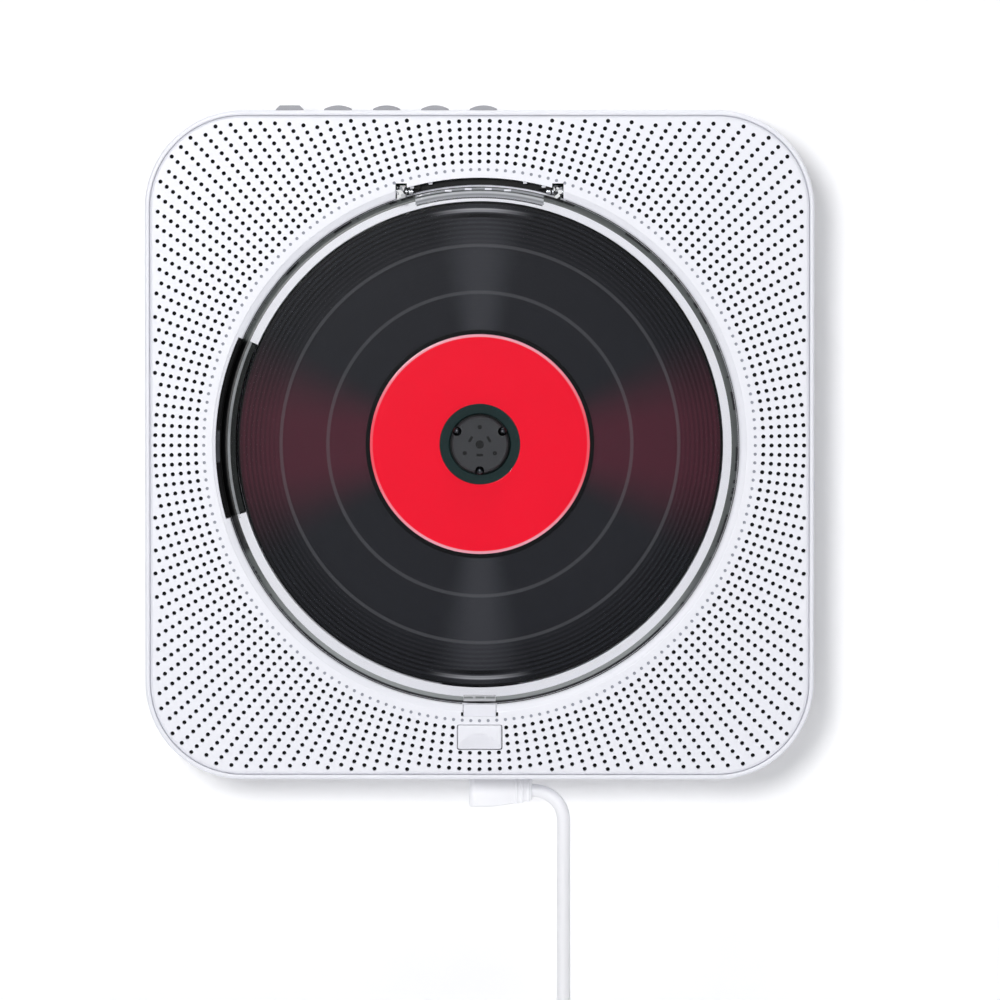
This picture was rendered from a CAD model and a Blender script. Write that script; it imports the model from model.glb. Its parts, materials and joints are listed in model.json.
# %% [markdown]
# # A disc player that hangs on the wall
#
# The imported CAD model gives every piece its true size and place.
# Here the same player gets its looks: rounded edges, a front with two thousand real sound holes,
# a clear lid, a grooved black disc and the white power lead.
# The CAD nodes load first, and they are never moved.

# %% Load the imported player
import json
import math
import bmesh
import bpy
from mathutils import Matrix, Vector

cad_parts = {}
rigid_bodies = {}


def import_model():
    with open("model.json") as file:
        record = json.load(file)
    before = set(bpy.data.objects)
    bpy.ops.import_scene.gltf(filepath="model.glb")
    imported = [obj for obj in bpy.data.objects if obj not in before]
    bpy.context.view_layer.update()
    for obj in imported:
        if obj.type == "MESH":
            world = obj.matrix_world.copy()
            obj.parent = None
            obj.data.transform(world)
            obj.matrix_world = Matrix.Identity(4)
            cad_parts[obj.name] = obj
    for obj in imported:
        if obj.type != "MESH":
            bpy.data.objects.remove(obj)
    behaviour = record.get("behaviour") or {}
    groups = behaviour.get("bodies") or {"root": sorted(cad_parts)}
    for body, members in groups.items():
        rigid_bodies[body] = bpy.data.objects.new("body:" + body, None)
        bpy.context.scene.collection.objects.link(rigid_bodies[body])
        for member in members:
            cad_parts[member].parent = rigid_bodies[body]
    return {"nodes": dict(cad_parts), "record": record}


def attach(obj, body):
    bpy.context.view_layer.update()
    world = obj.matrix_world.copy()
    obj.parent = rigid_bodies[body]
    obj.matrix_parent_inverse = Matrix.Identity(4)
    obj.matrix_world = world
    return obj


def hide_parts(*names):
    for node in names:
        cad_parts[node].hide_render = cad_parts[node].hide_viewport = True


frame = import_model()
for extra in ("Cube", "Light", "Camera"):
    if extra in bpy.data.objects:
        bpy.data.objects.remove(bpy.data.objects[extra])
bpy.context.view_layer.update()

# %% [markdown]
# ## Where things are
#
# The frame counts from the wall screws, which are 52 mm above the middle of the body.
# It is easier to think in millimetres from the middle of the front, so one function turns these into metres.
# The front faces -Y, and the wall is at y = 0.

# %% The player's own millimetres
MM = 0.001
SCREWS_UP = 52
FRONT, PLATE_BACK = -33, -31


def at(x, y, z):
    """A point in mm from the middle of the body, as metres in the frame."""
    return Vector((x * MM, y * MM, (z - SCREWS_UP) * MM))


print("middle of the front:", at(0, FRONT, 0)[:])

# %% [markdown]
# ## The camera
#
# The photograph was taken from far away: the round opening shows hardly any of its inner wall,
# and only a thin grey line of the top shows above the front. A long lens two and a half metres away,
# slightly above the middle, gives the same view.

# %% Aim a long lens at the front
SENSOR = 36
view_width = 246.6
view_middle = at(5.05, FRONT, -13.45)
camera_distance = 2.5
camera_rise, camera_turn = math.radians(2.6), math.radians(0.5)
towards_camera = Vector((
    math.sin(camera_turn) * math.cos(camera_rise),
    -math.cos(camera_turn) * math.cos(camera_rise),
    math.sin(camera_rise),
))
lens = bpy.data.cameras.new("photo_lens")
lens.sensor_width = SENSOR
lens.lens = SENSOR * camera_distance / (view_width * MM)
camera = bpy.data.objects.new("photo_camera", lens)
bpy.context.scene.collection.objects.link(camera)
camera.location = view_middle + towards_camera * camera_distance
camera.rotation_euler = (-towards_camera).to_track_quat("-Z", "Y").to_euler()
bpy.context.scene.camera = camera
print("lens, mm:", round(lens.lens))

# %% [markdown]
# ## The power lead
#
# The lead is soft white PVC, 3.3 mm thick and about a metre and a half long.
# It leaves the plug sideways, turns down in a quarter circle and hangs straight.
# The length that the photograph doesn't show is wound in a neat coil below the view, in four layers of three turns.
# A curve with a round bevel is the natural way to make it, because its own line is the lead's length.
# The points are those of the CAD source, only closer together.

# %% Lay the lead's points
LEAD_D = 3.3
LEAD_Y = -12
PLUG_TOP = -82.6
LEAD_START, LEAD_X, LEAD_Z = 12.9, 20.7, PLUG_TOP - 4.2
BEND_R, BEND_STEPS, HANG_STEPS = 7.4, 16, 11
COIL_Z, COIL_IN, COIL_PITCH, COIL_TURNS, TURN_STEPS = -168, 12.8, 3.8, 12, 40
COIL_OUT = COIL_IN + 3 * COIL_PITCH
COIL_X = LEAD_X - COIL_OUT


def ease(s):
    """Rises softly from 0 to 1."""
    s = min(max(s, 0), 1)
    return s * s * (3 - 2 * s)


def coil_point(turns):
    """The lead's place after some turns: three turns inward, then three outward in the next layer, and so on."""
    part = turns % 6
    radius = COIL_OUT - COIL_PITCH * (part if part < 3 else 6 - part)
    depth = LEAD_Y - COIL_PITCH * sum(ease(2 * (turns - layer + 0.25)) for layer in (3, 6, 9))
    angle = 2 * math.pi * turns
    return at(COIL_X + radius * math.cos(angle), depth, COIL_Z - radius * math.sin(angle))


route = [at(LEAD_START, LEAD_Y, LEAD_Z)]
for i in range(BEND_STEPS + 1):
    a = math.pi / 2 * i / BEND_STEPS
    route.append(at(LEAD_X - BEND_R + BEND_R * math.sin(a), LEAD_Y, LEAD_Z - BEND_R * (1 - math.cos(a))))
hang_top, hang_end = LEAD_Z - BEND_R, COIL_Z + LEAD_D
route += [at(LEAD_X, LEAD_Y, hang_top + (hang_end - hang_top) * i / HANG_STEPS) for i in range(1, HANG_STEPS + 1)]
route += [coil_point(i / TURN_STEPS) for i in range(COIL_TURNS * TURN_STEPS + 1)]
coil_end_y = LEAD_Y - 3 * COIL_PITCH
route += [at(LEAD_X, coil_end_y, COIL_Z - s) for s in (3.5, 8, 13)]

# %% Draw the lead as one round curve
lead_line = bpy.data.curves.new("power_lead", "CURVE")
lead_line.dimensions = "3D"
# The bevel multiplies the radius that each point carries, and that radius also pads the curve's box.
lead_line.bevel_depth = 1
lead_line.bevel_resolution = 4
lead_line.use_fill_caps = True
strand = lead_line.splines.new("POLY")
strand.points.add(len(route) - 1)
for point, place in zip(strand.points, route):
    point.co = (*place, 1)
    point.radius = LEAD_D / 2 * MM
strand.use_smooth = True
power_lead = bpy.data.objects.new("power_lead", lead_line)
bpy.context.scene.collection.objects.link(power_lead)
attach(power_lead, "body")
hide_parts("cord", "cord_coil")
print("points on the lead:", len(route))

# %% [markdown]
# ## Wall, floor and light
#
# The player hangs on a plain white wall and throws a short soft shadow to the right and down.
# One lamp on the left gives that shadow, a weaker one lights the top, and a pale world fills the rest,
# so that white plastic doesn't clip.
# The wall shows as white because its colour gets a little of its own light for the camera, and not from more lamps.

# %% Small helpers for materials


def linear(colour):
    """An sRGB hex colour as Blender's linear values."""
    parts = [int(colour[i:i + 2], 16) / 255 for i in (1, 3, 5)]
    return [*(v / 12.92 if v <= 0.04045 else ((v + 0.055) / 1.055) ** 2.4 for v in parts), 1]


def add(finish, kind, links=(), values=(), **settings):
    """Adds a node to a material, sets it and links its inputs to other nodes' outputs."""
    node = finish.node_tree.nodes.new("ShaderNode" + kind)
    for name, value in settings.items():
        setattr(node, name, value)
    for socket, value in dict(values).items():
        node.inputs[socket].default_value = value
    for socket, source in dict(links).items():
        finish.node_tree.links.new(source, node.inputs[socket])
    return node


def join(finish, source, node, socket):
    """Links one output to one input."""
    finish.node_tree.links.new(source, node.inputs[socket])


def new_finish(name, values):
    """A material with its shader's constant values set on the shader itself."""
    finish = bpy.data.materials.new(name)
    finish.use_nodes = True
    shader = finish.node_tree.nodes["Principled BSDF"]
    for socket, value in values.items():
        shader.inputs[socket].default_value = value
    return finish, shader


def layered(finish, under, over, share):
    """One colour over another by a share. A colour is a hex string or another node's output."""
    both = {0: share}
    plain = {}
    for socket, colour in ((6, under), (7, over)):
        if isinstance(colour, str):
            plain[socket] = linear(colour)
        else:
            both[socket] = colour
    return add(finish, "Mix", both, plain, data_type="RGBA").outputs[2]


# %% Hang up the wall and lay the floor
paint, paint_shader = new_finish("white_wall_paint", {"Roughness": 0.9, "Base Color": linear("#F4F4F5")})
WALL_LIFT = 0.17
rays = add(paint, "LightPath")
seen = add(paint, "Math", {0: rays.outputs["Is Camera Ray"], 1: rays.outputs["Is Glossy Ray"]}, operation="MAXIMUM")
seen = add(paint, "Math", {0: seen.outputs[0], 1: rays.outputs["Is Transmission Ray"]}, operation="MAXIMUM")
lift = add(paint, "Math", {0: seen.outputs[0]}, {1: WALL_LIFT}, operation="MULTIPLY")
glow = add(paint, "Emission", {"Strength": lift.outputs[0]})
both = add(paint, "AddShader", {0: paint_shader.outputs[0], 1: glow.outputs[0]})
clear = add(paint, "BsdfTransparent")
side = add(paint, "NewGeometry")
front_only = add(paint, "MixShader", {0: side.outputs["Backfacing"], 1: both.outputs[0], 2: clear.outputs[0]})
join(paint, front_only.outputs[0], paint.node_tree.nodes["Material Output"], "Surface")

bpy.ops.object.select_all(action="DESELECT")
bpy.ops.mesh.primitive_plane_add(size=6, location=(0, 0.0006, 0), rotation=(math.pi / 2, 0, 0))
wall = bpy.context.object
bpy.ops.mesh.primitive_plane_add(size=6, location=(0, -2.9, -1.2))
floor = bpy.context.object
for name, piece in (("wall", wall), ("floor", floor)):
    piece.name = name
    piece.data.materials.append(paint)
print("stage:", wall.name, floor.name)

# %% Light it softly from the upper left
def lamp(name, place, size, power, aim):
    """A round soft lamp. Places and sizes are in metres."""
    light = bpy.data.lights.new(name, "AREA")
    light.shape, light.size, light.energy = "DISK", size, power
    holder = bpy.data.objects.new(name, light)
    bpy.context.scene.collection.objects.link(holder)
    holder.location = place
    holder.rotation_euler = (Vector(place) - aim).to_track_quat("Z", "Y").to_euler()


middle = at(0, FRONT, 0)
lamp("key_lamp", (-0.37, -2.5, 0.34), size=0.5, power=34.3, aim=middle)
lamp("top_lamp", (0.2, -0.3, 1.9), size=0.8, power=13, aim=middle)
world = bpy.data.worlds.new("pale_room")
bpy.context.scene.world = world
world.use_nodes = True
sky = world.node_tree.nodes["Background"]
sky.inputs["Color"].default_value = linear("#F2F4F8")
sky.inputs["Strength"].default_value = 0.3
bpy.context.scene.view_settings.view_transform = "Standard"
print("lamps: 2")

# %% [markdown]
# ## Moulded plastics
#
# The body is ABS, injection moulded with a fine satin texture. It is nearly white with a touch of blue.
# What gives it away is a soft broad highlight, a grain that is just felt, and very slight mottling.
# The same recipe with other colours and grain makes the keys, the black parts, the rubber and the lead's PVC.

# %% A recipe for moulded plastic


def moulded(name, colour, shade, roughness, grain_mm, relief_mm, **gloss):
    """Plastic: colour with a faint second shade, grain of a real size in mm and its height in mm."""
    values = {socket.replace("_", " "): value for socket, value in gloss.items()}
    finish, shader = new_finish(name, {"IOR": 1.5, **values})
    place = add(finish, "TexCoord").outputs["Object"]
    clouds = add(finish, "TexNoise", {"Vector": place}, {"Scale": 45, "Detail": 3})
    tint = layered(finish, colour, shade, clouds.outputs[0])
    grain = add(finish, "TexNoise", {"Vector": place}, {"Scale": 1000 / grain_mm, "Detail": 2})
    dull = add(finish, "MapRange", {0: grain.outputs[0]}, {3: roughness - 0.05, 4: roughness + 0.06})
    bump = add(finish, "Bump", {"Height": grain.outputs[0]}, {"Strength": 0.6, "Distance": relief_mm * MM})
    join(finish, tint, shader, "Base Color")
    join(finish, dull.outputs[0], shader, "Roughness")
    join(finish, bump.outputs[0], shader, "Normal")
    return finish


white_abs = moulded("white_abs", "#F0F0F6", "#EBECF3", 0.34, 0.5, 0.006)
back_abs = moulded("textured_back_abs", "#E6E6EA", "#DEDEE4", 0.55, 0.7, 0.03)
grey_abs = moulded("grey_key_abs", "#94959A", "#8D8E92", 0.42, 0.4, 0.01)
black_abs = moulded("black_abs", "#141517", "#0F1011", 0.5, 0.5, 0.01, Specular_IOR_Level=0.15)
black_rubber = moulded("black_rubber", "#1A1A1B", "#131314", 0.75, 0.35, 0.02)
white_pvc = moulded("white_pvc", "#FAFAFC", "#F5F5F8", 0.38, 0.6, 0.004)
power_lead.data.materials.append(white_pvc)
# The floors of the shallow dimples lie in their own shade, so they are a duller grey.
dimple_grey = moulded("shaded_white_abs", "#B0B3BE", "#A8ABB6", 0.6, 0.5, 0.004)
dark_box = moulded("black_green_shroud", "#0E1413", "#090D0C", 0.5, 0.8, 0.004, Specular_IOR_Level=0.15)
print("plastics: 8")

# %% [markdown]
# ## Tools for modelling
#
# Every piece starts from a primitive at its size and place, is shaped in edit mode and has its edges rounded.
# A few small tools keep that short. They add a primitive with nothing else selected, select by place,
# turn a profile like a lathe, cut a shape out of another, round edges, and hand a finished piece to its body.

# %% Add, select and turn
CREASE = math.radians(32)
SMALL = 1e-6


def own_mm(point):
    """A point of a mesh in mm from the middle of the body."""
    return (point - at(0, 0, 0)) / MM


def take(piece, *others):
    """Selects one piece and makes it the active one, with any others selected beside it."""
    bpy.ops.object.select_all(action="DESELECT")
    for one in (*others, piece):
        one.select_set(True)
    bpy.context.view_layer.objects.active = piece


def start(kind, **how):
    """Adds a primitive with nothing else selected, and puts its place into its mesh."""
    bpy.ops.object.select_all(action="DESELECT")
    getattr(bpy.ops.mesh, f"primitive_{kind}_add")(**how)
    bpy.ops.object.transform_apply(location=True, rotation=True, scale=True)
    return bpy.context.object


def block(x0, x1, y0, y1, z0, z1):
    """A box between two corners, in mm from the middle of the body."""
    return start("cube", size=1, location=(at(x0, y0, z0) + at(x1, y1, z1)) / 2,
                 scale=((x1 - x0) * MM, (y1 - y0) * MM, (z1 - z0) * MM))


def bar(centre, radius, length, along="Y", sides=64):
    """A round bar through its middle point, along X, Y or Z."""
    turn = {"X": (0, math.pi / 2, 0), "Y": (math.pi / 2, 0, 0), "Z": (0, 0, 0)}[along]
    return start("cylinder", vertices=sides, radius=radius * MM, depth=length * MM,
                 location=at(*centre), rotation=turn)


def pick(kind, test):
    """In edit mode, selects only the verts, edges or faces that pass a test."""
    bpy.ops.mesh.select_mode(type=kind)
    bpy.ops.mesh.select_all(action="DESELECT")
    shape = bmesh.from_edit_mesh(bpy.context.object.data)
    for part in {"VERT": shape.verts, "EDGE": shape.edges, "FACE": shape.faces}[kind]:
        if test(part):
            part.select_set(True)
    shape.select_flush_mode()
    bmesh.update_edit_mesh(bpy.context.object.data)


def mid(part):
    """The middle of an edge or face, in mm from the middle of the body."""
    return own_mm(sum((v.co for v in part.verts), Vector()) / len(part.verts))


def turned(profile, x=0, z=0, steps=128):
    """Turns [radius, depth] points about a line into the wall, as on a lathe."""
    places = [at(x + r, y, z) for r, y in profile]
    piece = start("plane", size=MM, location=places[0])
    bpy.ops.object.mode_set(mode="EDIT")
    bpy.ops.mesh.select_mode(type="VERT")
    bpy.ops.mesh.select_all(action="SELECT")
    bpy.ops.mesh.merge(type="CENTER")
    for here, there in zip(places, places[1:]):
        bpy.ops.mesh.extrude_region_move(TRANSFORM_OT_translate={"value": there - here})
    bpy.ops.mesh.select_all(action="SELECT")
    bpy.ops.mesh.spin(steps=steps, angle=2 * math.pi, center=at(x, 0, z), axis=(0, 1, 0))
    bpy.ops.mesh.select_all(action="SELECT")
    bpy.ops.mesh.remove_doubles(threshold=SMALL)
    bpy.ops.mesh.normals_make_consistent(inside=False)
    bpy.ops.object.mode_set(mode="OBJECT")
    return piece


def ring_of(inner, radius, y0, y1):
    """A flat ring with square edges, between two depths."""
    return turned([[inner, y0], [radius, y0], [radius, y1], [inner, y1], [inner, y0]], steps=192)


# %% Cut, round and finish


def cut(piece, *tools, how="DIFFERENCE", solver="EXACT"):
    """Takes each tool's shape out of the piece, or keeps only what they share."""
    for tool in tools:
        take(piece)
        step = piece.modifiers.new("cut", "BOOLEAN")
        step.operation, step.object, step.solver = how, tool, solver
        bpy.ops.object.modifier_apply(modifier="cut")
        bpy.data.objects.remove(tool)
    return piece


def bevel_where(piece, test, width, segments=4):
    """Rounds the edges that pass a test."""
    take(piece)
    bpy.ops.object.mode_set(mode="EDIT")
    pick("EDGE", test)
    bpy.ops.mesh.bevel(offset=width * MM, segments=segments, affect="EDGES", clamp_overlap=True)
    bpy.ops.object.mode_set(mode="OBJECT")
    return piece


def runs_in(edge):
    """True for an edge that runs straight into the wall."""
    a, b = (v.co for v in edge.verts)
    return abs(a.x - b.x) + abs(a.z - b.z) < SMALL and abs(a.y - b.y) > 10 * SMALL


def on_depth(edge, y):
    """True for an edge that lies at one depth, in mm."""
    return all(abs(v.co.y - y * MM) < SMALL for v in edge.verts)


def finished(piece, name, finish, body, stands_for=()):
    """Names a piece, smooths it up to a crease angle, gives it its material and its body."""
    take(piece)
    piece.name = piece.data.name = name
    bpy.ops.object.shade_smooth_by_angle(angle=CREASE)
    even = piece.modifiers.new("even", "WEIGHTED_NORMAL")
    even.keep_sharp = True
    bpy.ops.object.modifier_apply(modifier="even")
    if finish:
        piece.data.materials.clear()
        piece.data.materials.append(finish)
    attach(piece, body)
    if stands_for:
        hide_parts(*stands_for)
    print(name, len(piece.data.polygons), "faces")
    return piece


def paint_faces(piece, finish, test):
    """Gives a second finish to the faces whose middle, in mm from the middle of the body, passes a test."""
    piece.data.materials.append(finish)
    for face in piece.data.polygons:
        if test(own_mm(face.center)):
            face.material_index = len(piece.data.materials) - 1


def out(c):
    """How far a point is from the disc's axis."""
    return math.hypot(c.x, c.z)


# %% [markdown]
# ## The perforated front
#
# The front is one moulded plate with about two thousand round sound holes, each 1 mm across.
# They stand on 200 spokes, on rings 2 mm apart, and stop a little way before the edge.
# A picture of holes would go flat from the side, so each one is really drilled:
# one small round bar is copied along a spoke, the spoke is copied around the opening, and one cut takes them all out.

# %% Make the plate and its round opening
HALF_PLATE, PLATE_CORNER = 81.3, 22.8
AHEAD, BEHIND = -36, -28
plate = block(-HALF_PLATE, HALF_PLATE, FRONT, PLATE_BACK, -HALF_PLATE, HALF_PLATE)
bevel_where(plate, runs_in, PLATE_CORNER, 24)
bevel_where(plate, lambda e: on_depth(e, FRONT), 0.8, 6)
opening = [[0, -30], [64.05, -30], [64.05, -31.7], [64.1, -32.05], [64.3, -32.36], [64.65, -32.58], [65.2, -32.74],
           [65.75, -32.84], [65.9, -32.97], [66.2, -33.002], [66.2, -34], [0, -34]]
cut(plate, turned(opening, steps=184))
print("plate faces:", len(plate.data.polygons))

# %% Cut the openings for lid, latch, button and window
SLOT_R, RELIEF_R = 66, 67.4
slot = cut(bar((0, -32, 0), SLOT_R, 4, sides=192), block(-18, 18, AHEAD, BEHIND, 55, 70), how="INTERSECT")
relief = cut(bar((0, -31.4, 0), RELIEF_R, 2, sides=192), block(-17.6, 17.6, AHEAD, BEHIND, 55, 70), how="INTERSECT")
cut(plate, slot, block(-20.7, -17.9, AHEAD, BEHIND, 58, 64.6), block(17.9, 20.7, AHEAD, BEHIND, 58, 64.6))
cut(plate, relief)
BUTTON_Z, BUTTON_W, BUTTON_H = -72.05, 10.9, 5.9
button_low, button_top = BUTTON_Z - BUTTON_H / 2, BUTTON_Z + BUTTON_H / 2
frame_hole = block(-BUTTON_W / 2 - 0.15, BUTTON_W / 2 + 0.2, AHEAD, BEHIND, button_low - 0.2, button_top + 0.12)
bevel_where(frame_hole, runs_in, 0.5, 4)
cut(plate, frame_hole, block(-4.15, 4.15, AHEAD, BEHIND, -67, -62), block(-4.2, 4.2, -32, BEHIND, -69.2, -66),
    block(-4.6, 4.6, AHEAD, BEHIND, -66.9, -65.9))


def wedge_of(radius, inner, y0, y1, angle0, angle1):
    """A piece of a ring between two angles, counted from the right, in degrees."""
    ring = ring_of(inner, radius, y0, y1)
    keep = bar((0, -30, 0), 200, 200, sides=3)
    a, b = math.radians(angle0), math.radians(angle1)
    far = 200 / math.cos((b - a) / 2)
    corners = [at(0, 0, 0), *(at(far * math.cos(angle), 0, far * math.sin(angle)) for angle in (a, b))]
    for v in keep.data.vertices:
        corner = corners[v.index // 2]
        v.co.x, v.co.z = corner.x, corner.z
    bpy.ops.object.mode_set(mode="EDIT")
    bpy.ops.mesh.select_all(action="SELECT")
    bpy.ops.mesh.normals_make_consistent(inside=False)
    bpy.ops.object.mode_set(mode="OBJECT")
    return cut(ring, keep, how="INTERSECT")


WINDOW_FROM, WINDOW_TO = 156, 196
cut(plate, wedge_of(65.15, 60, AHEAD, BEHIND, WINDOW_FROM - 0.2, WINDOW_TO + 0.2))
print("plate faces:", len(plate.data.polygons))

# %% Drill the sound holes and the shallow dimples
SPOKES, RING_STEP, HOLE_SIDES = 200, 2, 12
FIRST_RING, RINGS, HOLE_R = 70, 18, 0.53
DIMPLE_RING, DIMPLE_R = 68, 0.4
drills = bar((FIRST_RING, -32, 0), HOLE_R, 4, sides=HOLE_SIDES)
along = drills.modifiers.new("spoke", "ARRAY")
along.use_relative_offset, along.use_constant_offset = False, True
along.constant_offset_displace, along.count = (RING_STEP * MM, 0, 0), RINGS
bpy.ops.object.modifier_apply(modifier="spoke")
take(drills, bar((DIMPLE_RING, -33.2, 0), DIMPLE_R, 1.5, sides=HOLE_SIDES))
bpy.ops.object.join()
bpy.ops.object.mode_set(mode="EDIT")
bpy.ops.mesh.select_all(action="SELECT")
copies = SPOKES - 1
bpy.ops.mesh.spin(steps=copies, dupli=True, angle=2 * math.pi * copies / SPOKES, center=at(0, 0, 0), axis=(0, 1, 0))
GRID_HALF, GRID_CORNER = 80.1, 20.8


def past(c, half, corner):
    """How far a point is outside a square with round corners, in mm."""
    x, z = abs(c.x) - half + corner, abs(c.z) - half + corner
    return math.hypot(max(x, 0), max(z, 0)) + min(max(x, z), 0) - corner


def off_the_plate(face):
    """True for the ends of a drill that would come too near the plate's edge or the button."""
    c = mid(face)
    at_button = abs(c.x) < 6 and -75.4 < c.z < -68.9
    return len(face.verts) == HOLE_SIDES and (past(c, GRID_HALF, GRID_CORNER) > 0 or at_button)


pick("FACE", off_the_plate)
bpy.ops.mesh.select_linked()
bpy.ops.mesh.delete(type="FACE")
bpy.ops.object.mode_set(mode="OBJECT")
drill_ends = [face for face in drills.data.polygons if len(face.vertices) == HOLE_SIDES]
holes = len(drill_ends) // 2
print("holes and dimples:", holes)
cut(plate, drills, solver="MANIFOLD")
assert len(plate.data.polygons) > holes * (HOLE_SIDES - 2), "the holes weren't cut"
front_plate = finished(plate, "front_plate", white_abs, "body", ["front_cover"])
paint_faces(front_plate, dimple_grey, lambda c: 67.4 < out(c) < 68.6 and -32.95 < c.y < -32.2)

# %% [markdown]
# ## The white shell
#
# The shell is one moulded frame with large round corners, and the front sits flush in it.
# The thin grey line round the front is no colour: it is the valley between two rounded edges.
# So the shell's mouth gets a small round too, and the plate fills it up to a hair.

# %% Mould the shell
SIDE, CORNER, BACK = 82.5, 24, -1


def rounded_block(half, corner, y0, y1, steps=24):
    """A square block with round corners, between two depths."""
    return bevel_where(block(-half, half, y0, y1, -half, half), runs_in, corner, steps)


shell = rounded_block(SIDE, CORNER, FRONT, BACK, 32)
bevel_where(shell, lambda e: on_depth(e, FRONT), 0.5, 5)
bevel_where(shell, lambda e: on_depth(e, BACK), 1.2, 4)
MOUTH, MOUTH_CORNER = HALF_PLATE + 0.05, PLATE_CORNER + 0.05
cut(shell, rounded_block(MOUTH, MOUTH_CORNER, FRONT - 1, PLATE_BACK + 0.3),
    rounded_block(78.5, 20, PLATE_BACK - 0.5, -29), rounded_block(80.5, 22, -29.5, 1))
bevel_where(shell, lambda e: on_depth(e, FRONT) and past(mid(e), MOUTH, MOUTH_CORNER) < 0.1, 0.4, 4)
print("shell faces:", len(shell.data.polygons))

# %% Open it for keys, plug, jack and knob
KEYS = [-47.2 + 12 * i for i in range(5)]
KEY_Y, SIDE_Y, JACK_Z, KNOB_Z, PLUG_X = -17, -17, 8.7, -10.6, 1.4
openings = [block(x - 3.6, x + 3.6, KEY_Y - 2.7, KEY_Y + 2.7, 79, 84) for x in KEYS]
openings.append(bar((82, SIDE_Y, JACK_Z), 3.2, 6, "X"))
openings.append(block(79, 84, SIDE_Y - 1.3, SIDE_Y + 1.3, KNOB_Z - 4.6, KNOB_Z + 1.6))
openings.append(bar((PLUG_X, LEAD_Y, -82), 3.4, 6, "Z"))
openings.append(block(-10.4, 10.4, -32, -29.3, -80.4, -77.5))
cut(shell, *openings)
SCREWS = [(-72, 72), (72, 72), (-30, -77.5), (30, -77.5)]
posts = [turned([[1.1, -3], [3.5, -3], [3.5, -29.8], [1.1, -29.8], [1.1, -3]], x, z, 32) for x, z in SCREWS]
take(shell, *posts)
bpy.ops.object.join()
body_shell = finished(shell, "body_shell", white_abs, "body", ["housing"])

# %% [markdown]
# ## Rounding the CAD's own pieces
#
# Many pieces already have the right shape in the CAD model, but their edges are knife sharp, and light shows it.
# A copy of such a piece gets its doubled points merged, its flat faces joined and its sharp edges rounded.
# The CAD node itself stays as it is, and its copy is shown in its place.

# %% Copy a CAD piece and round its edges
home = {node: body for body, nodes in frame["record"]["behaviour"]["bodies"].items() for node in nodes}


def softened(node, finish, width, segments=3):
    """A copy of a CAD piece with its sharp edges rounded to a width in mm, shown in the piece's place."""
    piece = bpy.data.objects.new(node + "_soft", frame["nodes"][node].data.copy())
    bpy.context.scene.collection.objects.link(piece)
    take(piece)
    bpy.ops.object.mode_set(mode="EDIT")
    bpy.ops.mesh.select_all(action="SELECT")
    bpy.ops.mesh.remove_doubles(threshold=2 * SMALL)
    bpy.ops.mesh.dissolve_limited(angle_limit=math.radians(1))
    bpy.ops.mesh.normals_make_consistent(inside=False)
    bpy.ops.object.mode_set(mode="OBJECT")
    edge = piece.modifiers.new("edge", "BEVEL")
    edge.width, edge.segments, edge.limit_method, edge.angle_limit = width * MM, segments, "ANGLE", CREASE
    bpy.ops.object.modifier_apply(modifier="edge")
    return finished(piece, node + "_rounded", finish, home[node], [node])


# %% [markdown]
# ## The round well
#
# Behind the lid is a white round well with a shoulder that the lid's skirt comes down to.
# On its left sits the receiver of the remote control behind a strip of dark acrylic, with a dark box behind it.

# %% Round the well and set the dark window
def draw_in(piece, least, most, depth, by):
    """Moves a round wall inward: the points between two radii, in front of a depth, in mm."""
    for v in piece.data.vertices:
        c = own_mm(v.co)
        if least < out(c) < most and c.y < depth:
            share = 1 - by / out(c)
            v.co.x, v.co.z = v.co.x * share, (c.z * share - SCREWS_UP) * MM


well = softened("disc_well", white_abs, 0.2)
paint_faces(well, black_abs, lambda c: abs(c.x) < 20.8 and c.z > 58 and c.y < -28 and out(c) > 62.6)
draw_in(well, 60.6, 61.1, -26.5, 0.64)
strip = wedge_of(65.05, 64.1, -32.7, -21, WINDOW_FROM, WINDOW_TO)
bevel_where(strip, lambda e: on_depth(e, -32.7), 0.06, 2)
window = finished(strip, "receiver_window", None, "body", ["window_strip"])
draw_in(softened("sensor_shroud", dark_box, 0.2), 0, 61.1, 0, 0.5)
print("window faces:", len(window.data.polygons))

# %% [markdown]
# ## The clear lid
#
# The lid is injection moulded acrylic: a flat clear face, and a deep skirt that one sees on edge.
# Clear plastic seen on edge looks dark, with short bright and black dashes where it picks up the slope around it.
# The face has low alpha in place of full glass, because the disc under it then gets its light without noise.

# %% Paint the acrylic
ACRYLIC = {"IOR": 1.49, "Roughness": 0.05}


def around(finish):
    """Radius in mm from the disc's axis, and the two shares of it across and up, for a pattern that goes round."""
    place = add(finish, "TexCoord").outputs["Object"]
    centred = add(finish, "Mapping", {"Vector": place}, {"Location": (0, 0, SCREWS_UP * MM)})
    flat = add(finish, "VectorMath", {0: centred.outputs[0]}, {1: (1000, 0, 1000)}, operation="MULTIPLY")
    radius = add(finish, "VectorMath", {0: flat.outputs[0]}, operation="LENGTH").outputs["Value"]
    unit = add(finish, "VectorMath", {0: flat.outputs[0]}, operation="NORMALIZE")
    sides = add(finish, "VectorMath", {0: unit.outputs[0]}, operation="ABSOLUTE")
    return place, radius, add(finish, "SeparateXYZ", {0: sides.outputs[0]}), unit.outputs[0]


def edge_marks(finish, unit):
    """Short dark dashes along a round edge, and a dark stretch on its left beside the window."""
    noise = add(finish, "TexNoise", {"Vector": unit}, {"Scale": 7, "Detail": 4, "Roughness": 0.75})
    dash = add(finish, "MapRange", {0: noise.outputs[0]}, {1: 0.5, 2: 0.54})
    across = add(finish, "SeparateXYZ", {0: unit}).outputs["X"]
    left = add(finish, "MapRange", {0: across}, {1: -0.905, 2: -0.915})
    return dash.outputs[0], left.outputs[0]


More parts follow.
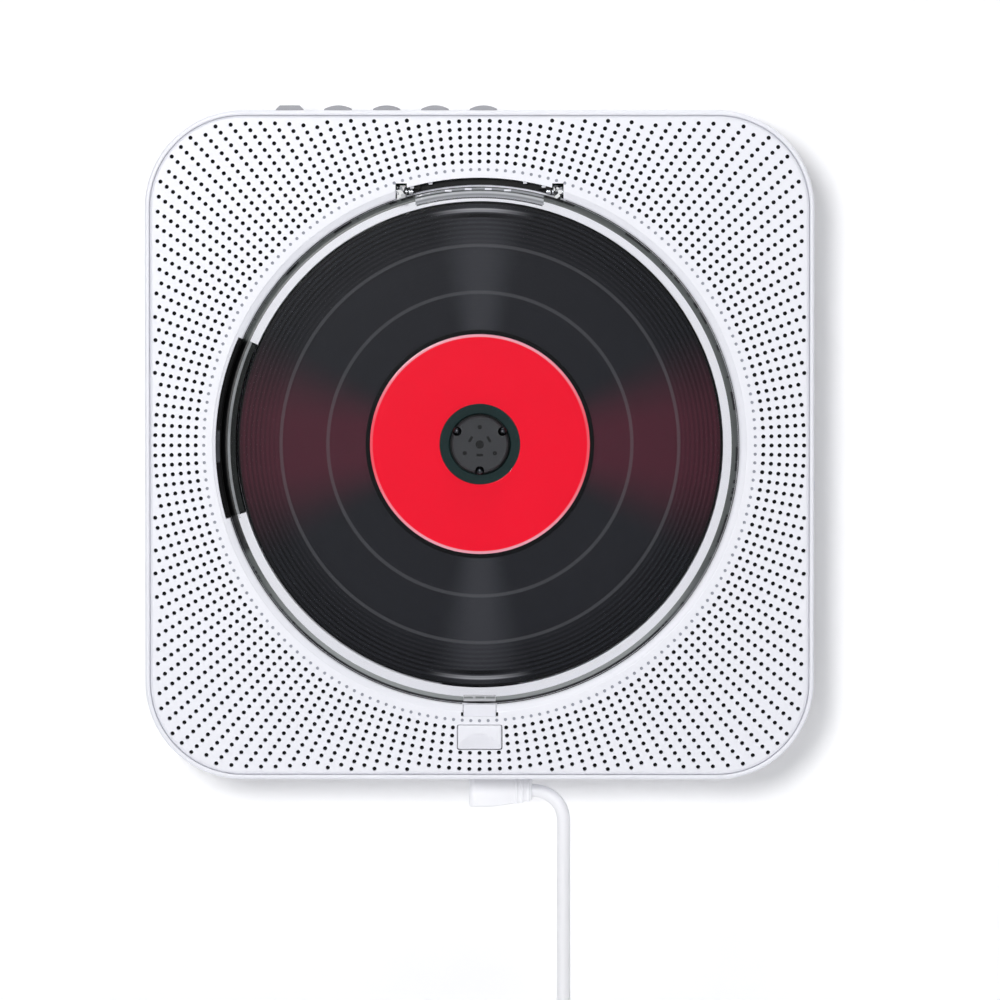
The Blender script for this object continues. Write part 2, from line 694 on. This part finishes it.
def near(finish, value, middle, reach, edge=0.5):
    """1 where a value is at the middle, falling softly to 0 at its reach."""
    away = add(finish, "Math", {0: value}, {1: middle}, operation="SUBTRACT")
    away = add(finish, "Math", {0: away.outputs[0]}, operation="ABSOLUTE")
    return add(finish, "MapRange", {0: away.outputs[0]}, {1: reach * edge, 2: reach, 3: 1, 4: 0},
               interpolation_type="SMOOTHSTEP").outputs[0]


clear_acrylic, shader = new_finish("clear_acrylic", {**ACRYLIC, "Base Color": linear("#2A2E33"), "Alpha": 0.02})
place = add(clear_acrylic, "TexCoord").outputs["Object"]
polish = add(clear_acrylic, "TexNoise", {"Vector": place}, {"Scale": 1000 / 20, "Detail": 2})
dull = add(clear_acrylic, "MapRange", {0: polish.outputs[0]}, {3: 0.03, 4: 0.06})
join(clear_acrylic, dull.outputs[0], shader, "Roughness")

seen_on_edge = {**ACRYLIC, "Roughness": 0.3, "Alpha": 0.97, "Specular IOR Level": 0.2}
edge_look, shader = new_finish("acrylic_seen_on_edge", seen_on_edge)
_, radius, _, unit = around(edge_look)
dash, left = edge_marks(edge_look, unit)
outside = add(edge_look, "MapRange", {0: radius}, {1: 63.1, 2: 63.25})
dark = add(edge_look, "Math", {0: dash, 1: outside.outputs[0]}, operation="MULTIPLY")
dark = add(edge_look, "Math", {0: dark.outputs[0], 1: left}, operation="MAXIMUM")
low = add(edge_look, "MapRange", {0: add(edge_look, "SeparateXYZ", {0: unit}).outputs["Z"]}, {1: -0.5, 2: -0.75})
black = add(edge_look, "Math", {0: low.outputs[0], 1: outside.outputs[0]}, operation="MULTIPLY")
dark = add(edge_look, "Math", {0: dark.outputs[0], 1: black.outputs[0]}, operation="MAXIMUM")
shade = layered(edge_look, "#505453", "#8B8F8F", low.outputs[0])
shade = layered(edge_look, shade, "#050506", dark.outputs[0])
join(edge_look, shade, shader, "Base Color")
acrylic_lip, shader = new_finish("acrylic_polished_lip", {**ACRYLIC, "Alpha": 0.5})
place = add(acrylic_lip, "TexCoord").outputs["Object"]
polish = add(acrylic_lip, "TexNoise", {"Vector": place}, {"Scale": 1000 / 4, "Detail": 3})
join(acrylic_lip, layered(acrylic_lip, "#D5D8DB", "#9DA0A4", polish.outputs[0]), shader, "Base Color")
print("acrylics: 3")

# %% Turn the lid
LID_Y, LID_R, RIM_FROM, LIP_FROM = -32.6, 63.8, 62.1, 61.5
bend = [[62.6, LID_Y], [62.86, LID_Y + 0.08], [63.7, LID_Y + 0.92], [LID_R, LID_Y + 1.2]]
skirt = [[LID_R, -27.7], [63.7, -27.6], [62.3, -27.6], [62.2, -27.7], [62.2, -30.7], [61.8, -31.1], [61.4, -31.1]]
lid = turned([[0, LID_Y], [LIP_FROM, LID_Y], [RIM_FROM + 0.05, LID_Y], *bend, *skirt, [0, -31.1]], steps=192)
clear_lid = finished(lid, "clear_lid", clear_acrylic, "lid", ["lid"])


def on_lip(c):
    """True for the flat ring beside the window, just inside the rim."""
    at_window = WINDOW_FROM < math.degrees(math.atan2(c.z, c.x)) % 360 < WINDOW_TO
    return LIP_FROM < out(c) <= RIM_FROM and c.y < -32 and at_window


paint_faces(clear_lid, edge_look, lambda c: out(c) > RIM_FROM and c.y < -31.5)
paint_faces(clear_lid, acrylic_lip, on_lip)

# %% [markdown]
# ## The lid's hinge and its catch
#
# At the top the lid has a clear bar that fills a slot in the front. It has stepped ridges and four white lugs along it,
# and a knuckle at each end.
# At the bottom it has a small grey catch with three dark slots, which the white latch holds.

# %% Build the hinge bar from stepped arcs
HINGE_Y, HINGE_Z = -30.1, 62.6


RIDGE_BACK, RIDGE_ROUND = -31.2, 0.12


def arc_bar(inner, radius, y0, half):
    """A stepped ridge: the top of a ring, cut off at both sides."""
    keep = block(-half, half, y0 - 1, RIDGE_BACK + 1, 50, 70)
    arc = cut(ring_of(inner, radius, y0, RIDGE_BACK), keep, how="INTERSECT")
    return bevel_where(arc, lambda e: on_depth(e, y0), RIDGE_ROUND, 2)


ridges = [arc_bar(62.8, 63.6, -32.3, 15.8), arc_bar(61.35, 62.8, -32.7, 15.8), arc_bar(60.95, 61.3, -32.65, 15.5)]
LUG_R, LUG_Y, LUG_HALF = 63.5, -32.6, 0.85
for x in (-7.7, -2.8, 2.15, 6.9):
    z = math.sqrt(LUG_R ** 2 - x * x)
    lug = block(x - LUG_HALF, x + LUG_HALF, LUG_Y, LUG_Y + 1, z - 0.5, z)
    ridges.append(bevel_where(lug, lambda e: on_depth(e, LUG_Y), RIDGE_ROUND, 2))

# %% Join the ridges, knuckles and catch to the lid's look
hinge_bar, shader = new_finish("acrylic_hinge_bar", {**ACRYLIC, "Alpha": 0.93})
radius = around(hinge_bar)[1]
shade = layered(hinge_bar, "#A2A4A9", "#C6C8CC", near(hinge_bar, radius, 62.45, 0.25))
shade = layered(hinge_bar, shade, "#8A8C90", near(hinge_bar, radius, 61.9, 0.2))
shade = layered(hinge_bar, shade, "#5C5E61", near(hinge_bar, radius, 61.1, 0.3, 0.8))
join(hinge_bar, shade, shader, "Base Color")

knuckle_look, shader = new_finish("acrylic_knuckle", {**ACRYLIC, "Alpha": 0.9})
place = add(knuckle_look, "TexCoord").outputs["Object"]
cells = add(knuckle_look, "TexVoronoi", {"Vector": place}, {"Scale": 1000 / 0.9, "Randomness": 1})
value = add(knuckle_look, "SeparateColor", {0: cells.outputs["Color"]})
dark = add(knuckle_look, "MapRange", {0: value.outputs[0]}, {1: 0.62, 2: 0.7})
light = add(knuckle_look, "MapRange", {0: value.outputs[1]}, {1: 0.55, 2: 0.65})
shade = layered(knuckle_look, "#B4B6BA", "#FFFFFF", light.outputs[0])
shade = layered(knuckle_look, shade, "#2A2B2D", dark.outputs[0])
join(knuckle_look, shade, shader, "Base Color")

for i, ridge in enumerate(ridges):
    finished(ridge, f"hinge_ridge_{i + 1}", hinge_bar if i < 3 else white_abs, "lid")
KNUCKLE_X, KNUCKLE_W = 19.3, 2.2
for side, x in (("left", -KNUCKLE_X), ("right", KNUCKLE_X)):
    ear = bar((x, HINGE_Y, HINGE_Z), 1.5, KNUCKLE_W, "X", 32)
    arm = block(x - KNUCKLE_W / 2, x + KNUCKLE_W / 2, -31.5, -29.1, 59.6, HINGE_Z)
    for kind, piece in (("knuckle", ear), ("arm", arm)):
        bevel_where(piece, lambda e: True, 0.2, 2)
        finished(piece, f"hinge_{kind}_{side}", knuckle_look, "lid")
pins = softened("hinge_pins", None, 0.1)

catch = block(-4, 4, -32.85, -31.2, -63.2, -61.7)
bevel_where(catch, lambda e: True, 0.15, 2)
cut(catch, *[block(x - 1.1, x + 1.1, -33, -32.2, -62.5, -62.05) for x in (-2.75, 0.1, 2.7)])
catch_look = moulded("clear_acrylic_catch", "#C6C7CB", "#A9AAAE", 0.15, 2, 0.002, Alpha=0.95)
finished(catch, "lid_catch", catch_look, "lid")
paint_faces(catch, black_abs, lambda c: -62.55 < c.z < -62 and -32.75 < c.y < -31.9 and abs(c.x) < 3.9)
for i, x in enumerate((-16.7, -12.1, 11.2, 15.8)):
    edge_z = math.sqrt(SLOT_R ** 2 - x * x)
    rib = block(x - 0.5, x + 0.5, -31.3, -30.75, edge_z - 0.6, edge_z + 0.3)
    bevel_where(rib, lambda e: mid(e).z < edge_z - 0.55, 0.2, 3)
    finished(rib, f"slot_rib_{i + 1}", white_abs, "body")
print("hinge pieces:", len(ridges) + 8)

# %% Lay the black seal in the gap round the lid
gap_black, shader = new_finish("black_rubber_seal", {"Roughness": 0.6, "Specular IOR Level": 0.15})
_, _, sides, unit = around(gap_black)
dash, left = edge_marks(gap_black, unit)
low = add(gap_black, "MapRange", {0: sides.outputs["Z"]}, {1: 0.5, 2: 0.75})
dark = add(gap_black, "Math", {0: dash, 1: low.outputs[0]}, operation="MAXIMUM")
dark = add(gap_black, "Math", {0: dark.outputs[0], 1: left}, operation="MAXIMUM")
join(gap_black, layered(gap_black, "#3E4241", "#040405", dark.outputs[0]), shader, "Base Color")
seal = ring_of(63.87, 64.15, -31.5, -31.03)
cut(seal, block(-21.2, 21.2, -33, -30, 50, 70), block(-4.3, 4.3, -33, -30, -70, -50))
finished(seal, "lid_seal", gap_black, "body")

# %% [markdown]
# ## The disc
#
# The disc is a compact disc printed to look like a black record: fine rings, two paler gaps between the tracks,
# soft grey fans at the top and bottom, and deep red fans at the sides. All of it is print under lacquer,
# so it is drawn round the disc's axis by radius and direction, and turns with the disc.

# %% Print the record
LACQUER = {"IOR": 1.45, "Specular IOR Level": 0.3, "Roughness": 0.12}
record, shader = new_finish("lacquered_print", LACQUER)
_, radius, sides, _ = around(record)
across, up = sides.outputs["X"], sides.outputs["Z"]
groove = add(record, "Math", {0: radius}, {1: 2 * math.pi / 1.15}, operation="MULTIPLY")
groove = add(record, "Math", {0: groove.outputs[0]}, operation="SINE")
groove = add(record, "MapRange", {0: groove.outputs[0]}, {1: -1, 2: 1})
outer = add(record, "MapRange", {0: radius}, {1: 47, 2: 55})
streak = add(record, "TexNoise", {"Vector": add(record, "CombineXYZ", {"X": radius}).outputs[0]},
             {"Scale": 1.6, "Detail": 2})
band = add(record, "Math", {0: groove.outputs[0], 1: outer.outputs[0]}, operation="MULTIPLY")
red_fan = add(record, "MapRange", {0: up}, {1: 0.1, 2: 0.5, 3: 1, 4: 0}, interpolation_type="SMOOTHSTEP")
grey_fan = add(record, "MapRange", {0: across}, {1: 0.02, 2: 0.24, 3: 1, 4: 0}, interpolation_type="SMOOTHSTEP")
rings = [near(record, radius, r, 0.55) for r in (37.6, 49.2, 57.9)]
pale = add(record, "Math", {0: rings[0], 1: rings[1]}, operation="ADD")
lift = add(record, "Math", {0: pale.outputs[0]}, {1: 0.24}, operation="MULTIPLY")
shine = add(record, "Math", {0: rings[2], 1: grey_fan.outputs[0]}, operation="MULTIPLY")
shine = add(record, "Math", {0: shine.outputs[0]}, {1: 0.85}, operation="MULTIPLY")
dip = add(record, "Math", {0: near(record, radius, 56.6, 0.7), 1: grey_fan.outputs[0]}, operation="MULTIPLY")
fine = add(record, "Math", {0: band.outputs[0]}, {1: 0.4}, operation="MULTIPLY")
# Each colour lies over those before it: streaks, grooves, red fans, grey fans, pale gaps, the shine near the edge
# and the dark dip inside it, fine lines, then the dark rings round the label and the edge, and the middle.
shade = "#26272C"
for colour, share in (("#1F2025", streak.outputs[0]), ("#0E0F13", band.outputs[0]), ("#4C2430", red_fan.outputs[0]),
                      ("#3A3B40", grey_fan.outputs[0]), ("#77787C", lift.outputs[0]), ("#B9BABF", shine.outputs[0]),
                      ("#101114", dip.outputs[0]), ("#121216", fine.outputs[0]),
                      ("#08090B", near(record, radius, 27.7, 0.8)),
                      ("#0A0B0D", near(record, radius, 60.2, 1.1)),
                      ("#1D3030", near(record, radius, 8, 2.2, 0.95))):
    shade = layered(record, shade, colour, share)
relief = add(record, "Bump", {"Height": groove.outputs[0]}, {"Strength": 0.25, "Distance": 0.00001})
join(record, shade, shader, "Base Color")
join(record, relief.outputs[0], shader, "Normal")

# %% Turn the disc and lay its label
disc = turned([[7.5, -24.3], [7.7, -24.5], [59.75, -24.5], [59.95, -24.42], [60, -24.25], [60, -23.5], [59.8, -23.3],
               [7.7, -23.3], [7.5, -23.5], [7.5, -24.3]], steps=192)
finished(disc, "printed_disc", record, "spindle", ["disc"])

label_print, shader = new_finish("red_label_print", LACQUER)
place, radius, sides, _ = around(label_print)
ink = add(label_print, "TexNoise", {"Vector": place}, {"Scale": 1000 / 14, "Detail": 4})
shade = layered(label_print, "#FF1030", "#FA0E2D", ink.outputs[0])
rim_glow = add(label_print, "MapRange", {0: sides.outputs["Z"]}, {1: 0.2, 2: 0.9, 3: 0.25, 4: 1})
rim = near(label_print, radius, 26.95, 0.55)
rim = add(label_print, "Math", {0: rim, 1: rim_glow.outputs[0]}, operation="MULTIPLY")
shade = layered(label_print, shade, "#F7A9B8", rim.outputs[0])
join(label_print, shade, shader, "Base Color")
label = turned([[10, -24.49], [10, -24.58], [10.05, -24.6], [27.05, -24.6], [27.2, -24.57], [27.2, -24.49],
                [10, -24.49]])
finished(label, "red_label", label_print, "spindle", ["disc_label"])

# %% [markdown]
# ## The hub
#
# The disc snaps on a hub of black plastic with three sprung steel balls.
# Its cap has three small round dots, three short slots and a dimple in the middle, all cut for real.

# %% Turn the hub and cut its marks
hub = turned([[0, -27.4], [6.6, -27.4], [6.95, -27.1], [6.95, -26.4], [7.3, -26.3], [7.3, -23.32], [12.8, -23.3],
              [13, -23.1], [13, -22.0], [12.9, -21.9], [3, -21.9], [3, -20.9], [0, -20.9]], steps=96)
DOT_AT, BALL_AT, SHORT_SLOT_AT = 4.3, 6.5, 2.6
marks = []
for turn in (math.radians(120 * i) for i in range(3)):
    a, b = math.radians(90) + turn, math.radians(30) + turn
    marks.append(bar((DOT_AT * math.cos(a), -27.4, DOT_AT * math.sin(a)), 0.55, 0.9, sides=20))
    marks.append(bar((BALL_AT * math.cos(b), -26.2, BALL_AT * math.sin(b)), 1.14, 3.4, sides=24))
    short_slot = block(-0.8, 0.8, -27.8, -26.9, -0.33, 0.33)
    for v in short_slot.data.vertices:
        x, z = v.co.x / MM, v.co.z / MM + SCREWS_UP - SHORT_SLOT_AT
        place = at(x * math.cos(turn) - z * math.sin(turn), 0, x * math.sin(turn) + z * math.cos(turn))
        v.co.x, v.co.z = place.x, place.z
    marks.append(short_slot)
marks.append(bar((0, -27.4, 0), 1.05, 0.8, sides=32))
cut(hub, *marks)
hub_abs = moulded("black_hub_abs", "#3A3B3E", "#343538", 0.55, 0.4, 0.004, Specular_IOR_Level=0.2)
finished(hub, "disc_hub", hub_abs, "spindle", ["turntable"])
paint_faces(hub, black_abs, lambda c: c.y > -27.35 and out(c) < 5.6 or out(c) > 7.05 or c.y > -26.4)

# %% [markdown]
# ## Button, latch and keys
#
# The lid opens with a white push button that has a shallow scoop for the thumb, cut with a large ball:
# its upper edge is a crisp arc, and it runs out flat lower down. Above it the white latch holds the lid's catch.

# %% Press out the button and its scoop
BUTTON_FACE = FRONT - 0.3
button = block(-BUTTON_W / 2, BUTTON_W / 2, BUTTON_FACE, -29.8, button_low, button_top)
bevel_where(button, runs_in, 0.45, 4)
bevel_where(button, lambda e: on_depth(e, BUTTON_FACE), 0.45, 5)
BALL_R, SCOOP_DEPTH, BALL_Z = 22.5, 0.9, -77.3
ball_middle = at(0, BUTTON_FACE + SCOOP_DEPTH - BALL_R, BALL_Z)
cut(button, start("uv_sphere", segments=96, ring_count=96, radius=BALL_R * MM, location=ball_middle))
finished(button, "push_button", white_abs, "button", ["open_button"])
paint_faces(softened("latch_slider", white_abs, 0.22), black_abs, lambda c: c.y > -30.95)
for i in range(5):
    softened(f"key_{i + 1}", grey_abs, 0.35, 4)
softened("power_knob", white_abs, 0.15)
softened("audio_jack", black_abs, 0.15)

# %% [markdown]
# ## The plug
#
# The plug under the body is soft PVC moulded over its metal barrel in one go with the lead's strain relief,
# which is why it has no sharp edge anywhere.

# %% Soften the plugs, the tie and the back
PLUG_LEFT, PLUG_HALF, PLUG_H, COLLAR = -2.85, 4.2, 8, 0.7
plug = block(PLUG_LEFT, LEAD_START, LEAD_Y - PLUG_HALF, LEAD_Y + PLUG_HALF, PLUG_TOP - PLUG_H, PLUG_TOP - COLLAR)
TAPER_FROM, NECK_FROM = 3.2, 8.2
bpy.ops.object.mode_set(mode="EDIT")
for x in (TAPER_FROM, NECK_FROM):
    bpy.ops.mesh.select_all(action="SELECT")
    bpy.ops.mesh.bisect(plane_co=at(x, 0, 0), plane_no=(1, 0, 0))
bpy.ops.object.mode_set(mode="OBJECT")
for v in plug.data.vertices:
    c = own_mm(v.co)
    if c.x < TAPER_FROM + 1:
        continue
    thinner, raised, lowered = (0.86, 0.75, 0) if c.x < NECK_FROM + 1 else (0.6, 1.5, 0.5)
    v.co.y = (LEAD_Y + (c.y - LEAD_Y) * thinner) * MM
    v.co.z += (raised if c.z < LEAD_Z else -lowered) * MM
bevel_where(plug, lambda e: mid(e).x < PLUG_LEFT + 0.05 and abs(mid(e).z - LEAD_Z) < 3, 1.5, 6)
bevel_where(plug, lambda e: e.calc_face_angle(0) > 0.9, 0.5, 4)
neck = bar((PLUG_X, LEAD_Y, PLUG_TOP - 0.45), 3.9, 0.9, "Z")
RIB_HALF = 0.4
ribs = []
for x, tall, deep in ((8.9, 3.15, 3.75), (10.3, 2.95, 3.35), (11.9, 2.7, 2.9)):
    rib = block(x - RIB_HALF, x + RIB_HALF, LEAD_Y - deep, LEAD_Y + deep, LEAD_Z - tall, LEAD_Z + tall + 0.2)
    ribs.append(bevel_where(rib, lambda e: True, 0.3, 3))
take(plug, neck, *ribs)
bpy.ops.object.join()
dc_plug = finished(plug, "plug_body", white_pvc, "body", ["dc_plug"])
softened("usb_plug", white_pvc, 0.9, 4)
softened("cord_tie", black_rubber, 0.3)
softened("rear_cover", back_abs, 0.25)
softened("rubber_pads", black_rubber, 0.5, 4)

# Clear plastic throws next to no shadow, and the photograph shows none under the plug and the lead.
for piece in (clear_lid, *ridges, dc_plug, power_lead):
    piece.visible_shadow = False

# %% [markdown]
# ## Metals
#
# The bracket and the screws are zinc plated steel: pale, a little blue, with short brushed scratches from rolling.
# The plug's barrel and shell are nickel plated and smoother, and the pinion is brass.

# %% Plate and brush the metals


def metal(name, colour, shade, roughness, grain_mm, stretch=(1, 1, 1)):
    """Metal: colour with a faint second shade, and scratches of a real size in mm that a stretch draws out."""
    finish, shader = new_finish(name, {"Metallic": 1})
    place = add(finish, "TexCoord").outputs["Object"]
    pulled = add(finish, "Mapping", {"Vector": place}, {"Scale": stretch})
    grain = add(finish, "TexNoise", {"Vector": pulled.outputs[0]}, {"Scale": 1000 / grain_mm, "Detail": 3})
    clouds = add(finish, "TexNoise", {"Vector": place}, {"Scale": 120, "Detail": 2})
    tint = layered(finish, colour, shade, clouds.outputs[0])
    dull = add(finish, "MapRange", {0: grain.outputs[0]}, {3: roughness - 0.08, 4: roughness + 0.1})
    bump = add(finish, "Bump", {"Height": grain.outputs[0]}, {"Strength": 0.4, "Distance": 0.004 * MM})
    join(finish, tint, shader, "Base Color")
    join(finish, dull.outputs[0], shader, "Roughness")
    join(finish, bump.outputs[0], shader, "Normal")
    return finish


zinc = metal("brushed_zinc_steel", "#B4B8BE", "#A3A8B0", 0.36, 0.5, (0.06, 1, 1))
ground = metal("ground_steel", "#C2C5C9", "#B6B9BE", 0.22, 0.4, (1, 1, 0.05))
nickel = metal("nickel_plate", "#CFD0D2", "#C4C5C8", 0.18, 0.8)
brass = metal("turned_brass", "#C9A34E", "#B8903C", 0.3, 0.3)
magnet_cup = metal("zinc_magnet_cup", "#8F9398", "#7C8086", 0.45, 0.6)
dark_steel = metal("blackened_steel", "#4A4C50", "#3B3D41", 0.3, 0.4)
softened("wall_bracket", zinc, 0.2)
softened("case_screws", zinc, 0.08, 2)
softened("plug_barrel", nickel, 0.12, 2)
softened("usb_shell", nickel, 0.12, 2)
pins.data.materials.clear()
pins.data.materials.append(ground)
print("metals: 6")

# %% [markdown]
# ## The dark window
#
# The receiver's strip is dark acrylic, almost black, with a smoky stretch in the middle where light comes through.

# %% Tint the window
smoked, shader = new_finish("smoked_acrylic", {**ACRYLIC, "Roughness": 0.1, "Specular IOR Level": 0.25})
place = add(smoked, "TexCoord").outputs["Object"]
height = add(smoked, "SeparateXYZ", {0: place}).outputs["Z"]
high = add(smoked, "Math", {0: height}, {1: 1000, 2: SCREWS_UP}, operation="MULTIPLY_ADD")
smoke = near(smoked, high.outputs[0], -0.25, 4.2, 0.85)
cloudy = add(smoked, "TexNoise", {"Vector": place}, {"Scale": 1000 / 1.6, "Detail": 3})
grey = layered(smoked, "#26272A", "#4A4C50", cloudy.outputs[0])
join(smoked, layered(smoked, "#060607", grey, smoke), shader, "Base Color")
window.data.materials.append(smoked)
receiver = moulded("infrared_epoxy", "#2A2230", "#1C1722", 0.12, 1.0, 0.001)

# %% [markdown]
# ## Inside
#
# Nothing inside shows while the player is closed, but the parts are there, and each has the finish of the real one:
# green solder mask with copper lines under it, black epoxy chips, sleeved capacitors, paper cones and a woven cloth.

# %% Stretch the black cloth behind every hole
sheet = rounded_block(81, 22.5, -30.98, -30.91, 12)
cut(sheet, bar((0, -31, 0), 69, 2, sides=96), block(-6.2, 6.2, -32, -30, -75.3, -68.8),
    block(-4.5, 4.5, -32, -30, -69, -60))
speaker_cloth = finished(sheet, "speaker_cloth", None, "body", ["acoustic_cloth"])
# The screws' points stop just behind the cloth.
screws = softened("well_screws", zinc, 0.08, 2)
for v in screws.data.vertices:
    v.co.y = max(v.co.y, -30.88 * MM)

# %% Weave the cloth, print the board and dip the cones
cloth, shader = new_finish("black_speaker_cloth", {"Roughness": 0.9, "Sheen Weight": 0.2})
place = add(cloth, "TexCoord").outputs["Object"]
# A wave texture has 20 bands to each unit of its scale, and the threads stand 0.5 mm apart.
weave = {"Scale": 1000 / 0.5 / 20, "Distortion": 0}
warp = add(cloth, "TexWave", {"Vector": place}, weave, bands_direction="X")
weft = add(cloth, "TexWave", {"Vector": place}, weave, bands_direction="Z")
over = add(cloth, "Math", {0: warp.outputs[0], 1: weft.outputs[0]}, operation="MAXIMUM")
join(cloth, layered(cloth, "#060607", "#101012", over.outputs[0]), shader, "Base Color")
join(cloth, add(cloth, "Bump", {"Height": over.outputs[0]}, {"Distance": 0.00008}).outputs[0], shader, "Normal")

board, shader = new_finish("green_solder_mask", {"Roughness": 0.35, "IOR": 1.5})
place = add(board, "TexCoord").outputs["Object"]
upright = add(board, "Mapping", {"Vector": place}, {"Rotation": (math.pi / 2, 0, 0)})
lines = add(board, "TexBrick", {"Vector": upright.outputs[0]},
            {"Color1": linear("#1F5136"), "Color2": linear("#235A3C"), "Mortar": linear("#3B7A4F"),
             "Scale": 1000 / 9, "Mortar Size": 0.03, "Brick Width": 0.6, "Row Height": 0.16})
join(board, lines.outputs["Color"], shader, "Base Color")
join(board, add(board, "Bump", {"Height": lines.outputs["Fac"]}, {"Distance": 0.00004}).outputs[0], shader, "Normal")

chip = moulded("black_epoxy", "#17181A", "#111214", 0.55, 0.3, 0.004)
sleeve = moulded("capacitor_sleeve", "#353A55", "#2C3048", 0.3, 1.2, 0.002)
cone = moulded("coated_paper_cone", "#26272B", "#1D1E21", 0.7, 0.8, 0.03)
gear_pom = moulded("light_grey_gear_pom", "#DADBDE", "#D2D3D7", 0.35, 0.5, 0.004)
lens_glass, shader = new_finish("coated_lens_glass", {"Roughness": 0.05, "IOR": 1.5, "Coat Weight": 0.6})
facing = add(lens_glass, "LayerWeight", values={"Blend": 0.5})
join(lens_glass, layered(lens_glass, "#2C3F78", "#7C5AA0", facing.outputs["Facing"]), shader, "Base Color")
speaker_cloth.data.materials.append(cloth)
for finish, nodes in ((dark_steel, "hub_balls"), (board, "ir_board key_board side_board main_board"),
                      (sleeve, "capacitors"), (chip, "board_chips tact_switches"), (cone, "speaker_cones"),
                      (gear_pom, "drive_gear"), (lens_glass, "pickup_lens"), (receiver, "ir_receiver"),
                      (magnet_cup, "speaker_magnets"), (black_abs, "dc_socket speaker_frames pickup_sled"),
                      (black_rubber, "chassis_dampers"), (brass, "motor_gear"),
                      (zinc, "power_switch drive_chassis chassis_screws spindle_motor sled_motor"),
                      (ground, "latch_spring spindle_shaft guide_rods gear_axle")):
    for node in nodes.split():
        skin = frame["nodes"][node].data.materials
        skin.clear()
        skin.append(finish)
print("finishes:", len([m for m in bpy.data.materials if m.use_nodes]))
